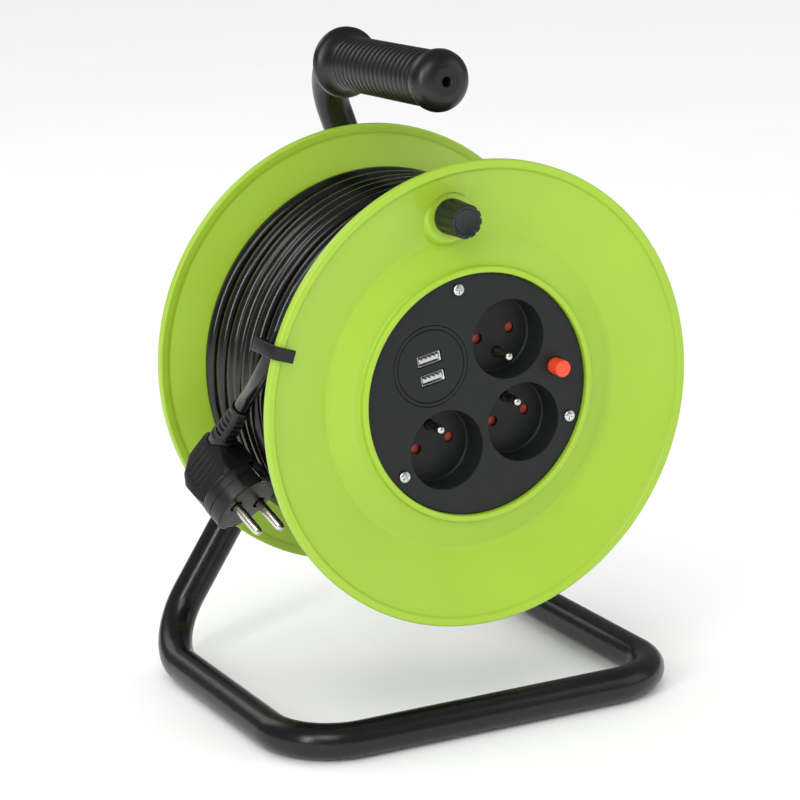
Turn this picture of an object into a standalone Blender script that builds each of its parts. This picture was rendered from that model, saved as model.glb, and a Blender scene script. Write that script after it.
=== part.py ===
"""Extension cord reel: a drum of cord with three socket outlets, turning on a bent tube frame.

The dimensions are in millimetres and MM turns them into metres. +Z is up and the socket side of
the drum faces -Y. The origin is on the floor, at the centre of the frame's footprint. On the drum,
radius and angle are taken from the axle, the angle anticlockwise from +X as seen from the front,
and depth runs backwards from the front flange's rim.
"""

import math

import bmesh
import bpy
from mathutils import Matrix, Vector

MM = 0.001
GAP = 0.3

# Tube frame, by the centre line of its tube
TUBE_RADIUS = 9.5
TUBE_WALL = 1.2
TUBE_SIDES = 12
BEND_RADIUS = 34
BEND_STEPS = 5
LOOP_HALF_WIDTH = 107.8
LOOP_HALF_DEPTH = 87.2
FLOOR_BAR_Z = TUBE_RADIUS * math.cos(math.pi / TUBE_SIDES)
AXLE_HEIGHT = 172.2
HANDLE_X = -5.2
HANDLE_FRONT = Vector((HANDLE_X, -58.6, 325.7))
HANDLE_REAR = Vector((HANDLE_X, LOOP_HALF_DEPTH, 321.3))
SPINDLE_END_DEPTH = 68

# Grip, measured back along the handle from its domed front end
GRIP_LENGTH = 112
GRIP_RIB_RADIUS = 14.3
GRIP_GROOVE_RADIUS = 13.3
GRIP_RIBS = 17
GRIP_RIB_START = 17
GRIP_RIB_PITCH = 4.9

# Drum
DRUM_FRONT_Y = -82.5
DRUM_WIDTH = 133
DRUM_TURN = math.radians(10.85)
CORE_RADIUS = 65.5
CORE_WALL = 2.5
FLANGE_RADIUS = 118
SPIGOT_RADIUS = 62.7
HUB_BORE = 12.2
BUSH_BORE = TUBE_RADIUS + 0.4
BUSH_OUTER = HUB_BORE - GAP
FLANGE_SCREW_CIRCLE = 57.5
FLANGE_SCREW_ANGLES = (22.5, 112.5, 202.5, 292.5)
ROUND_STEPS = 36

# Socket panel
PANEL_RADIUS = 61.2
PANEL_FRONT = 6.2
PANEL_BACK = 8.7
OUTLET_CIRCLE = 31.4
OUTLETS = ((45, -1), (315, 1), (225, 1))
WELL_RADIUS = 20
WELL_OUTER = 21.6
WELL_FLOOR = 21.2
WELL_BACK = 23.4
PIN_OFFSET = 9.5
PIN_HOLE = 2.6
EARTH_OFFSET = 10
EARTH_RADIUS = 2.4
USB_ANGLE = 135
USB_OUTER = 20.3
USB_SLOTS = (3.8, -6.2)
PANEL_SCREW_CIRCLE = 55.3
PANEL_SCREW_ANGLES = (90, 210, 330)
SCREW_HOLE = 1.9
SCREW_PILOT = 1.8
SCREW_BOSS = 3.6
SCREW_HEAD = 3
SCREW_SHANK = 1.5
BUTTON_CIRCLE = 45.6
BUTTON_RADIUS = 4.3
BUTTON_HOLE = BUTTON_RADIUS + 0.4
SHUTTER_FRONT = WELL_BACK + 0.4
SHUTTER_BACK = SHUTTER_FRONT + 1.5
SHUTTER_BORE = 1.5
SHUTTER_POST = SHUTTER_BORE - GAP

# Crank on the front flange
CRANK_CIRCLE = 92.2
CRANK_ANGLE = 88
CRANK_SEAT = 6.2
CRANK_BOSS_TOP = 12.6
CRANK_BOSS_BASE = 15.4
CRANK_TIP = -11
CRANK_PIN_HOLE = 3.3
KNOB_FLUTES = 12
KNOB_FLUTE_RADIUS = 1.6

# Cord
CORD_RADIUS = 4
WINDING_RADIUS = 97.2
GLAND_ANGLE = 200
GLAND_DEPTH = 28
CLIP_ANGLE = 161.8 - math.degrees(DRUM_TURN)
CLIP_HALF_WIDTH = 3.3
PLUG_CENTRE = Vector((-109.2, 73.7, -42.1))
PLUG_PINS = Vector((0.310, -0.738, -0.599))
PLUG_TOP = Vector((0.396, -0.473, 0.787))
PLUG_NOSE_RADIUS = 18
BOOT_ROOT = Vector((-109.6, 78.5, -28.2))
BOOT_DIRECTION = Vector((0.08, -0.69, 0.72)).normalized()
BOOT_LENGTH = 36
BOOT_END = BOOT_ROOT + BOOT_DIRECTION * BOOT_LENGTH

WHITE = (0.80, 0.79, 0.74, 1.0)
GREEN = (0.42, 0.70, 0.06, 1.0)
CHARCOAL = (0.030, 0.034, 0.034, 1.0)
BLACK = (0.012, 0.012, 0.012, 1.0)
ORANGE = (0.90, 0.09, 0.03, 1.0)
RUST_RED = (0.30, 0.05, 0.02, 1.0)
STEEL = (0.62, 0.60, 0.57, 1.0)
BRASS = (0.78, 0.57, 0.22, 1.0)
BOARD_GREEN = (0.02, 0.18, 0.06, 1.0)


# ---------------------------------------------------------------- helpers

def clear_scene():
    for old in list(bpy.data.objects):
        bpy.data.objects.remove(old, do_unlink=True)


def new_collection(name):
    collection = bpy.data.collections.new(name)
    bpy.context.scene.collection.children.link(collection)
    return collection


def new_material(name, colour, roughness, metallic=0.0):
    material = bpy.data.materials.new(name)
    material.use_nodes = True
    shader = material.node_tree.nodes["Principled BSDF"]
    shader.inputs["Base Color"].default_value = colour
    shader.inputs["Roughness"].default_value = roughness
    shader.inputs["Metallic"].default_value = metallic
    return material


def new_empty(name, parent=None, location=(0, 0, 0), turn=0.0):
    """An unseen axis along Y; turn is its angle, anticlockwise from the front."""
    empty = bpy.data.objects.new(name, None)
    PARTS.objects.link(empty)
    empty.parent = parent
    empty.location = Vector(location) * MM
    empty.rotation_euler = (0, -turn, 0)
    return empty


def wrap(name, mesh):
    shape = bpy.data.objects.new(name, mesh)
    PARTS.objects.link(shape)
    return shape


def bake(shape):
    """Replace an object's mesh by what its modifiers make of it."""
    bpy.context.view_layer.update()
    evaluated = shape.evaluated_get(bpy.context.evaluated_depsgraph_get())
    mesh = bpy.data.meshes.new_from_object(evaluated)
    shape.modifiers.clear()
    shape.data = mesh
    return shape


def combine(shape, other, operation):
    """Boolean of two meshes that share one frame; the second is used up."""
    modifier = shape.modifiers.new("combine", "BOOLEAN")
    modifier.operation = operation
    modifier.object = other
    modifier.solver = "EXACT"
    bake(shape)
    bpy.data.objects.remove(other, do_unlink=True)
    return shape


def cut(shape, *cutters):
    for cutter in cutters:
        combine(shape, cutter, "DIFFERENCE")
    return shape


def join(shape, *others):
    for other in others:
        combine(shape, other, "UNION")
    return shape


def finish(shape, name, material, parent=None, location=(0, 0, 0), turn=0.0, sharp=35):
    """Name a finished piece, put it in its place and shade its round faces smooth."""
    shape.name = name
    shape.data.name = name
    shape.data.materials.clear()
    shape.data.materials.append(material)
    shape.data.shade_smooth()
    shape.data.set_sharp_from_angle(angle=math.radians(sharp))
    shape.parent = parent
    shape.location = Vector(location) * MM
    shape.rotation_euler = (0, -turn, 0)
    return shape


def on_circle(radius, angle, depth=0.0):
    """A point of the drum from its radius, angle in degrees and depth."""
    return Vector((radius * math.cos(math.radians(angle)), depth, radius * math.sin(math.radians(angle))))


def signed_area(outline):
    following = outline[1:] + outline[:1]
    return sum(a[0] * b[1] - b[0] * a[1] for a, b in zip(outline, following)) / 2


def turned(profile, at=(0, 0), steps=ROUND_STEPS):
    """A solid of revolution about the depth axis through at, from (radius, depth) points.

    A profile whose first and last points are on the axis is left open there.
    """
    solid_core = profile[0][0] == 0 and profile[-1][0] == 0
    points = list(profile)
    if signed_area(points) > 0:
        points.reverse()
    mesh = bpy.data.meshes.new("turned")
    edges = [(i, i + 1) for i in range(len(points) - 1)]
    if not solid_core:
        edges.append((len(points) - 1, 0))
    mesh.from_pydata([(r * MM, 0, d * MM) for r, d in points], edges, [])
    shape = wrap("turned", mesh)
    screw = shape.modifiers.new("turn", "SCREW")
    screw.steps = steps
    screw.render_steps = steps
    screw.use_merge_vertices = True
    screw.merge_threshold = 0.00001
    bake(shape)
    place = Matrix.Translation(Vector((at[0], 0, at[1])) * MM) @ Matrix.Rotation(-math.pi / 2, 4, "X")
    shape.data.transform(place)
    return shape


def rod(radius, front, back, at=(0, 0), steps=24):
    return turned([(0, front), (radius, front), (radius, back), (0, back)], at, steps)


def tube(inner, outer, front, back, at=(0, 0), steps=24):
    return turned([(inner, front), (outer, front), (outer, back), (inner, back)], at, steps)


def block(low, high):
    """A box between two opposite corners."""
    low, high = Vector(low) * MM, Vector(high) * MM
    mesh = bpy.data.meshes.new("block")
    shell = bmesh.new()
    bmesh.ops.create_cube(shell, size=1)
    bmesh.ops.scale(shell, vec=high - low, verts=shell.verts)
    bmesh.ops.translate(shell, vec=(low + high) / 2, verts=shell.verts)
    shell.to_mesh(mesh)
    shell.free()
    return wrap("block", mesh)


def outline_solid(points, low, high):
    """A flat outline of (x, y) points, extruded from low to high along Z."""
    curve = bpy.data.curves.new("outline", "CURVE")
    curve.dimensions = "2D"
    curve.fill_mode = "BOTH"
    curve.extrude = (high - low) / 2 * MM
    spline = curve.splines.new("POLY")
    spline.points.add(len(points) - 1)
    for point, (x, y) in zip(spline.points, points):
        point.co = (x * MM, y * MM, 0, 1)
    spline.use_cyclic_u = True
    shape = curve_to_mesh(curve)
    shape.data.transform(Matrix.Translation((0, 0, (low + high) / 2 * MM)))
    return shape


def curve_to_mesh(curve):
    guide = bpy.data.objects.new("curve", curve)
    PARTS.objects.link(guide)
    bpy.context.view_layer.update()
    evaluated = guide.evaluated_get(bpy.context.evaluated_depsgraph_get())
    mesh = bpy.data.meshes.new_from_object(evaluated)
    shell = bmesh.new()
    shell.from_mesh(mesh)
    bmesh.ops.remove_doubles(shell, verts=shell.verts, dist=0.00001)
    bmesh.ops.recalc_face_normals(shell, faces=shell.faces)
    shell.to_mesh(mesh)
    shell.free()
    shape = wrap("curve", mesh)
    shape.matrix_world = guide.matrix_world
    bpy.data.objects.remove(guide, do_unlink=True)
    return shape


def strip(path, width, front, back):
    """A flat strip along a path of (x, z) points, with mitred corners, run a little past its ends."""
    points = [Vector(point) for point in path]
    runs = [(b - a).normalized() for a, b in zip(points, points[1:])]
    points[0] -= runs[0] * width / 3
    points[-1] += runs[-1] * width / 3
    left, right = [], []
    for i, point in enumerate(points):
        before, after = runs[max(i - 1, 0)], runs[min(i, len(runs) - 1)]
        across = Vector((-(before + after).y, (before + after).x)).normalized()
        reach = width / 2 / across.dot(Vector((-before.y, before.x)))
        left.append(point + across * reach)
        right.append(point - across * reach)
    shape = outline_solid([tuple(point) for point in left + right[::-1]], -back, -front)
    shape.data.transform(Matrix.Rotation(math.pi / 2, 4, "X"))
    return shape


def swept(points, radius, resolution, tilt=0.0, capped=True):
    """A round bar or cord along a run of points."""
    curve = bpy.data.curves.new("sweep", "CURVE")
    curve.dimensions = "3D"
    curve.twist_mode = "Z_UP"
    curve.bevel_depth = radius * MM
    curve.bevel_resolution = resolution
    curve.use_fill_caps = capped
    spline = curve.splines.new("POLY")
    spline.points.add(len(points) - 1)
    for target, point in zip(spline.points, points):
        target.co = (*(Vector(point) * MM), 1)
        target.tilt = tilt
    return curve_to_mesh(curve)


def bend(before, corner, after, radius, steps):
    """The points of the arc that rounds one corner of a path."""
    back = (before - corner).normalized()
    ahead = (after - corner).normalized()
    half = back.angle(ahead) / 2
    centre = corner + (back + ahead).normalized() * radius / math.sin(half)
    start = corner + back * radius / math.tan(half) - centre
    end = corner + ahead * radius / math.tan(half) - centre
    sweep = start.angle(end)
    points = []
    for i in range(steps + 1):
        share = i / steps
        points.append(centre + (start * math.sin((1 - share) * sweep) + end * math.sin(share * sweep))
                      / math.sin(sweep))
    return points


def rounded_path(corners, radius, steps):
    path = [corners[0]]
    for before, corner, after in zip(corners, corners[1:], corners[2:]):
        path += bend(before, corner, after, radius, steps)
    return path + [corners[-1]]


def smooth_path(route, spacing):
    """Points about spacing apart on a smooth curve through the route's own points."""
    ends = [2 * route[0] - route[1]] + list(route) + [2 * route[-1] - route[-2]]
    path = []
    for a, b, c, d in zip(ends, ends[1:], ends[2:], ends[3:]):
        count = max(1, round((c - b).length / spacing))
        for i in range(count):
            t = i / count
            path.append(b + (c - a) * t / 2 + (2 * a - 5 * b + 4 * c - d) * t ** 2 / 2
                        + (3 * b - a - 3 * c + d) * t ** 3 / 2)
    return path + [Vector(route[-1])]


def copy_of(shape):
    return wrap("copy", shape.data.copy())


def aim(shape, direction, at):
    """Turn a shape's depth axis along a direction and put its origin at a point."""
    turn = Vector(direction).to_track_quat("Y", "Z").to_matrix().to_4x4()
    shape.data.transform(Matrix.Translation(Vector(at) * MM) @ turn)
    return shape


def screw_shape(head_radius, head_height, shank_radius, length):
    """A cross-slotted pan-head screw, its head's underside at depth 0."""
    body = turned([(0, -head_height), (head_radius * 0.6, -head_height), (head_radius, -head_height * 0.35),
                   (head_radius, 0), (shank_radius, 0), (shank_radius, length), (0, length)], steps=12)
    slot = head_radius * 0.62
    half = head_radius * 0.13
    floor = -head_height * 0.45
    cross = join(block((-slot, -head_height - 1, -half), (slot, floor, half)),
                 block((-half, -head_height - 1, -slot), (half, floor, slot)))
    return cut(body, cross)


# ---------------------------------------------------------------- frame

def make_frame_tube(material):
    corners = [
        HANDLE_FRONT + (HANDLE_REAR - HANDLE_FRONT).normalized() * 5,
        HANDLE_REAR,
        Vector((LOOP_HALF_WIDTH, LOOP_HALF_DEPTH, FLOOR_BAR_Z)),
        Vector((LOOP_HALF_WIDTH, -LOOP_HALF_DEPTH, FLOOR_BAR_Z)),
        Vector((-LOOP_HALF_WIDTH, -LOOP_HALF_DEPTH, FLOOR_BAR_Z)),
        Vector((-LOOP_HALF_WIDTH, LOOP_HALF_DEPTH, FLOOR_BAR_Z)),
        Vector((0, LOOP_HALF_DEPTH, AXLE_HEIGHT)),
        Vector((0, DRUM_FRONT_Y + SPINDLE_END_DEPTH, AXLE_HEIGHT)),
    ]
    path = rounded_path(corners, BEND_RADIUS, BEND_STEPS)
    shape = swept(path, TUBE_RADIUS, (TUBE_SIDES - 4) // 2, tilt=math.pi / TUBE_SIDES, capped=False)
    wall = shape.modifiers.new("wall", "SOLIDIFY")
    wall.thickness = TUBE_WALL * MM
    wall.offset = -1
    wall.use_even_offset = True
    finish(bake(shape), "frame_tube", material)


def make_grip(material):
    profile = [(2.25, 0), (7.5, 0), (11.5, 1.2), (14.6, 4), (15.8, 8), (15.6, 11), (13.9, 15)]
    for i in range(GRIP_RIBS):
        start = GRIP_RIB_START + i * GRIP_RIB_PITCH
        profile += [(GRIP_GROOVE_RADIUS, start), (GRIP_RIB_RADIUS, start + GRIP_RIB_PITCH / 2)]
    profile += [(14.2, 101), (15.6, 104.5), (18.2, 107.5), (18.5, 108.2), (18.5, 111.4), (18, GRIP_LENGTH),
                (BUSH_BORE, GRIP_LENGTH), (BUSH_BORE, 4.5), (2.25, 4.5)]
    run = HANDLE_REAR - HANDLE_FRONT
    grip = finish(turned(profile, steps=16), "grip", material, location=HANDLE_FRONT, sharp=50)
    grip.rotation_euler = (math.atan2(run.z, run.y), 0, 0)


def make_spindle_fittings(steel, plastic):
    """The washer and screw that keep the drum on the spindle, and the collar it runs against."""
    axle = (0, DRUM_FRONT_Y, AXLE_HEIGHT)
    finish(tube(3.4, 14.5, 66.2, 67.7, steps=32), "spindle_washer", steel, location=axle)
    finish(tube(3.3, 7.8, 69, 79), "spindle_plug", plastic, location=axle)
    finish(tube(9.9, 15, 131.8, 135.2, steps=32), "spindle_collar", plastic, location=axle)
    screw = finish(screw_shape(5, 3.6, 3, 14), "spindle_screw", steel, location=axle)
    screw.location.y += 65.9 * MM


# ---------------------------------------------------------------- drum

def make_front_flange(material, drum):
    """Dished ring whose spigot takes the core and whose inner shelf takes the socket panel."""
    flange = turned([
        (118, 0.8), (117.2, 0), (113.4, 0), (112.9, 1.8), (80, 12.3), (66.6, 7.2), (65, 7.2), (64.3, 3.6),
        (61.9, 3.6), (61.5, 4.0), (61.5, 9.0), (59.6, 9.0), (59.6, 10.8), (61.5, 10.8), (61.5, 18),
        (SPIGOT_RADIUS, 18), (SPIGOT_RADIUS, 10.2), (66.6, 10.2), (80, 15.0), (112.6, 4.6), (114, 5.0),
        (117.2, 5.0), (118, 4.2)])
    place = on_circle(CRANK_CIRCLE, CRANK_ANGLE)
    at = (place.x, place.z)
    cut(flange, rod(CRANK_BOSS_TOP - 0.7, -5, CRANK_SEAT + GAP, at))
    boss = turned([(0, CRANK_SEAT), (CRANK_BOSS_TOP, CRANK_SEAT), (CRANK_BOSS_BASE, CRANK_SEAT + 4),
                   (CRANK_BOSS_BASE, 14), (0, 14)], at, 25)
    cut(boss, turned([(70, 17.2), (70, 30), (115, 30), (115, 3.3)]))
    join(flange, boss)
    cut(flange, rod(CRANK_PIN_HOLE, -5, 20, at))
    finish(flange, "front_flange", material, drum)


def make_back_flange(material, drum):
    """The same dish with a closed web, the hub sleeve, ribs and screw bosses."""
    flange = turned([
        (HUB_BORE, 131), (15.5, 131), (15.5, 127), (61.5, 127), (61.5, 129), (61.9, 129.4), (64.3, 129.4),
        (65, 125.8), (66.6, 125.8), (80, 120.7), (112.9, 131.2), (113.4, DRUM_WIDTH), (117.2, DRUM_WIDTH),
        (118, 132.2), (118, 128.8), (117.2, 128), (114, 128), (112.6, 128.4), (80, 118), (66.6, 122.8),
        (SPIGOT_RADIUS, 122.8), (SPIGOT_RADIUS, 115), (61.5, 115), (61.5, 124.5), (15.5, 124.5),
        (15.5, 68.6), (HUB_BORE, 68.6)])
    for angle in range(0, 360, 45):
        rib = block((14.5, 126, -0.75), (62, 128.7, 0.75))
        rib.data.transform(Matrix.Rotation(math.radians(-angle), 4, "Y"))
        join(flange, rib)
    for angle in FLANGE_SCREW_ANGLES:
        place = on_circle(FLANGE_SCREW_CIRCLE, angle)
        join(flange, rod(SCREW_BOSS, 114.6, 125.5, (place.x, place.z), 16))
        cut(flange, rod(SCREW_PILOT, 110, 130, (place.x, place.z), 16))
    finish(flange, "back_flange", material, drum)


def make_drum_core(material, drum):
    """Sleeve that the cord is wound on, with posts for the back flange's screws."""
    core = tube(CORE_RADIUS - CORE_WALL, CORE_RADIUS, 10.5, 122.5, steps=ROUND_STEPS)
    for angle in FLANGE_SCREW_ANGLES:
        place = on_circle(60, angle)
        post = rod(3.9, 66, 114.2, (place.x, place.z), 16)
        join(core, post)
        pilot = on_circle(FLANGE_SCREW_CIRCLE, angle)
        cut(core, rod(SCREW_PILOT, 92, 120, (pilot.x, pilot.z), 16))
    hole = aim(rod(5.3, 0, 20), on_circle(1, GLAND_ANGLE), on_circle(55, GLAND_ANGLE, GLAND_DEPTH))
    finish(cut(core, hole), "drum_core", material, drum)


def make_flange_screws(material, drum):
    screw = screw_shape(SCREW_HEAD, 2, SCREW_SHANK, 24)
    for number, angle in enumerate(FLANGE_SCREW_ANGLES, 1):
        finish(copy_of(screw), f"flange_screw_{number}", material, drum,
               on_circle(FLANGE_SCREW_CIRCLE, angle, 127.3)).rotation_euler = (math.pi, 0, 0)
    bpy.data.objects.remove(screw, do_unlink=True)


def make_hub_bushes(material, drum):
    finish(tube(BUSH_BORE, BUSH_OUTER, 70.5, 82), "hub_bush_front", material, drum)
    finish(tube(BUSH_BORE, BUSH_OUTER, 118, 130.7), "hub_bush_rear", material, drum)


def make_cord_gland(material, drum):
    gland = turned([(4.3, 0), (7, 0), (7, 1.6), (5, 1.6), (5, 4.6), (4.3, 4.6)], steps=20)
    aim(gland, on_circle(1, GLAND_ANGLE), on_circle(60.5, GLAND_ANGLE, GLAND_DEPTH))
    finish(gland, "cord_gland", material, drum)


# ---------------------------------------------------------------- socket panel

def outlet_centres():
    return [(on_circle(OUTLET_CIRCLE, angle), side) for angle, side in OUTLETS]


def make_socket_panel(material, drum):
    """Round plate moulded in one with three deep socket wells."""
    panel = rod(PANEL_RADIUS, PANEL_FRONT, PANEL_BACK, steps=ROUND_STEPS)
    for centre, side in outlet_centres():
        join(panel, rod(WELL_OUTER, PANEL_FRONT + 1, WELL_BACK, (centre.x, centre.z), 24))
    for centre, side in outlet_centres():
        at = (centre.x, centre.z)
        cut(panel, rod(WELL_RADIUS, 0, WELL_FLOOR, at, 24))
        for x in (-PIN_OFFSET, PIN_OFFSET):
            cut(panel, rod(PIN_HOLE, 0, 30, (centre.x + x, centre.z), 12))
        cut(panel, rod(EARTH_RADIUS + 0.35, 0, 30, (centre.x, centre.z + side * EARTH_OFFSET), 12))
        join(panel, rod(SHUTTER_POST, WELL_FLOOR + 1, 27, at, 12))
    usb = on_circle(OUTLET_CIRCLE, USB_ANGLE)
    cut(panel, rod(USB_OUTER + 0.3, 0, 30, (usb.x, usb.z), 24))
    cut(panel, rod(BUTTON_HOLE, 0, 30, (BUTTON_CIRCLE, 0), 20))
    for angle in PANEL_SCREW_ANGLES:
        place = on_circle(PANEL_SCREW_CIRCLE, angle)
        cut(panel, rod(SCREW_HOLE, 0, 30, (place.x, place.z), 12))
    finish(panel, "socket_panel", material, drum)


def make_housing(material, drum):
    """Cup behind the panel; its lip is drawn against the flange's shelf by the panel screws."""
    housing = turned([(0, 58), (59.2, 58), (59.2, 12.8), (61.2, 12.8), (61.2, 11.1), (57.2, 11.1), (57.2, 56),
                      (0, 56)], steps=ROUND_STEPS)
    for angle in PANEL_SCREW_ANGLES:
        place = on_circle(PANEL_SCREW_CIRCLE, angle)
        join(housing, rod(SCREW_BOSS, 9.2, 56.5, (place.x, place.z), 16))
        cut(housing, rod(SCREW_PILOT, 0, 28, (place.x, place.z), 12))
    finish(housing, "housing", material, drum)


def make_panel_screws(material, drum):
    screw = screw_shape(SCREW_HEAD, 1.9, SCREW_SHANK, 18)
    for number, angle in enumerate(PANEL_SCREW_ANGLES, 1):
        finish(copy_of(screw), f"panel_screw_{number}", material, drum,
               on_circle(PANEL_SCREW_CIRCLE, angle, PANEL_FRONT - GAP))
    bpy.data.objects.remove(screw, do_unlink=True)


def make_earth_pins(material, drum):
    for number, (centre, side) in enumerate(outlet_centres(), 1):
        pin = turned([(0, 7.2), (1.2, 7.4), (EARTH_RADIUS, 9.5), (EARTH_RADIUS, 35.2), (0, 35.2)], steps=16)
        finish(pin, f"earth_pin_{number}", material, drum, centre + Vector((0, 0, side * EARTH_OFFSET)))


def make_shutters(material, drum):
    """Sprung shutters that cover the two pin holes and turn aside on a post."""
    for number, (centre, side) in enumerate(outlet_centres(), 1):
        blade = block((-13.5, SHUTTER_FRONT, -3.5), (13.5, SHUTTER_BACK, 3.5))
        cut(blade, rod(SHUTTER_BORE, 0, 40, steps=12))
        finish(blade, f"shutter_{number}", material, drum, centre)


def make_contact_bar(name, material, drum, path, contacts, front, inner, outer, sleeve_front):
    """Flat bar through the points of a path, with a sleeve at each contact."""
    shape = strip(path, 5.4, front, front + 1.2)
    for at in contacts:
        join(shape, rod(outer, sleeve_front, front + 1.6, at, 12))
    for at in contacts:
        cut(shape, rod(inner, 0, 60, at, 10))
    finish(shape, name, material, drum)


def make_contact_bars(material, drum):
    """Live, neutral and earth bars, one behind the other across the backs of the wells."""
    reach = OUTLET_CIRCLE * math.sqrt(0.5)
    near, far = reach - PIN_OFFSET, reach + PIN_OFFSET
    below = -reach - 7.8
    earth = reach - EARTH_OFFSET
    make_contact_bar("live_bar", material, drum, [(near, reach), (near, below), (-far, below), (-far, -reach)],
                     [(near, reach), (near, -reach), (-far, -reach)], 28, 2.5, 3.6, 27)
    make_contact_bar("neutral_bar", material, drum, [(far, reach), (far, -reach), (-near, -reach)],
                     [(far, reach), (far, -reach), (-near, -reach)], 31, 2.5, 3.6, 27)
    make_contact_bar("earth_bar", material, drum, [(reach, earth), (reach, -earth), (-reach, -earth)],
                     [(reach, earth), (reach, -earth), (-reach, -earth)], 34, 3.1, 4.5, 33.6)


def make_terminal_block(material, drum):
    finish(block((-12, 40, -8), (12, 50, 8)), "terminal_block", material, drum)


def make_usb_module(black, steel, white, board, drum):
    """Charger insert: a ringed face with two sockets, and its circuit board behind."""
    place = on_circle(OUTLET_CIRCLE, USB_ANGLE)
    face = turned([(0, PANEL_FRONT), (18.0, PANEL_FRONT), (18.0, 6.8), (18.6, 6.8), (18.6, PANEL_FRONT),
                   (USB_OUTER, PANEL_FRONT), (USB_OUTER, PANEL_BACK), (17.5, PANEL_BACK), (17.5, 28), (15.5, 28),
                   (15.5, PANEL_BACK), (0, PANEL_BACK)], steps=24)
    for z in USB_SLOTS:
        cut(face, block((-6.8, 0, z - 3.1), (6.8, 20, z + 3.1)))
    finish(face, "usb_module", black, drum, place)
    for number, z in enumerate(USB_SLOTS, 1):
        shell = block((-6.5, 6.6, z - 2.8), (6.5, 20.6, z + 2.8))
        cut(shell, block((-6.1, 0, z - 2.4), (6.1, 30, z + 2.4)))
        finish(shell, f"usb_shell_{number}", steel, drum, place)
        tongue = block((-5.4, 7.0, z - 1.35), (5.4, 20.9, z + 0.95))
        finish(tongue, f"usb_tongue_{number}", white, drum, place)
    finish(block((-10, 21.2, -9), (10, 22.8, 9)), "usb_board", board, drum, place)


def make_breaker(black, orange, drum):
    """Overload cut-out and the button that resets it."""
    place = Vector((BUTTON_CIRCLE, 0, 0))
    body = block((-6, 12.4, -6), (6, 40, 6))
    cut(body, rod(4.4, 0, 26, steps=20))
    finish(body, "breaker_body", black, drum, place)
    button = turned([(0, -1.8), (BUTTON_RADIUS - 0.7, -1.8), (BUTTON_RADIUS, -1.1), (BUTTON_RADIUS, 9), (3.4, 9),
                     (3.4, 20), (0, 20)], steps=20)
    finish(button, "reset_button", orange, drum, place)


# ---------------------------------------------------------------- crank

def make_crank(black, steel, drum):
    """Turning knob on a fixed pin; the empty is its axis."""
    place = on_circle(CRANK_CIRCLE, CRANK_ANGLE)
    pin = turned([(0, -7.8), (4.4, -7.8), (5.2, -7.2), (5.2, -5.8), (3, -5.8), (3, 9.5), (0, 9.5)], steps=20)
    finish(pin, "crank_pin", steel, drum, place)
    axis = new_empty("crank_axis", drum, place)
    knob = turned([(3.4, CRANK_SEAT - GAP), (9, CRANK_SEAT - GAP), (8.5, CRANK_TIP + 1), (7.8, CRANK_TIP),
                   (6.3, CRANK_TIP), (6.3, -5.5), (3.4, -5.5)], steps=24)
    for i in range(KNOB_FLUTES):
        flute = on_circle(9.9, 360 * i / KNOB_FLUTES)
        cut(knob, rod(KNOB_FLUTE_RADIUS, -20, 3, (flute.x, flute.z), 8))
    finish(knob, "crank_knob", black, axis)
    finish(rod(6.0, -9.4, -8.2), "crank_cap", black, axis)


# ---------------------------------------------------------------- cord

def make_cord_winding(material, drum):
    """The wound cord as one ring, filling the drum between its flanges."""
    ring = turned([(66.2, 10.8), (80, 15.4), (WINDING_RADIUS, 10.0), (WINDING_RADIUS, 123.0), (80, 117.6),
                   (66.2, 122.2)])
    finish(ring, "cord_winding", material, drum)


def make_cord_lead(material, axle):
    lead = swept(smooth_path(lead_route(), 10), CORD_RADIUS, 3)
    finish(lead, "cord_lead", material, axle)


def lead_route():
    """From the winding, up through the clip on the rim and down to the plug's boot."""
    route = [on_circle(radius, angle, depth) for radius, angle, depth in (
        (101.8, 98, 20), (101.8, 110, 18), (102.2, 122, 15.4), (104.2, 133, 12.8), (107.2, 143.5, 10.8),
        (110.4, 153.5, 10.2), (112.5, 161.8, 13.2), (112.0, 167.2, 19.6), (110.6, 170.9, 27.5),
        (108.6, 174.0, 36.0), (106.9, 177.1, 45.0), (106.6, 179.0, 49.3))]
    return route + [BOOT_END + BOOT_DIRECTION * 3 * GAP]


def make_cable_clip(material, drum):
    """Clip that hooks over the front flange's rim and holds the cord behind it."""
    outline = [(108.6, -2.0), (120.3, -2.0), (120.3, 22.3), (107.5, 22.3), (107.5, 20.6), (118.3, 20.6),
               (118.3, 6.5), (114, 6.5), (114, 5.3), (118.3, 5.3), (118.3, -0.3), (108.6, -0.3)]
    clip = outline_solid(outline, -CLIP_HALF_WIDTH, CLIP_HALF_WIDTH)
    clip = finish(clip, "cable_clip", material, drum)
    clip.rotation_euler = (0, -math.radians(CLIP_ANGLE), 0)


def plug_place():
    """Matrix that lays the plug's own axes, pins along +X and cord side +Z, in the drum's frame."""
    pins = PLUG_PINS.normalized()
    side = PLUG_TOP.cross(pins).normalized()
    top = pins.cross(side)
    turn = Matrix((pins, side, top)).transposed().to_4x4()
    return Matrix.Translation(PLUG_CENTRE * MM) @ turn


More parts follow.
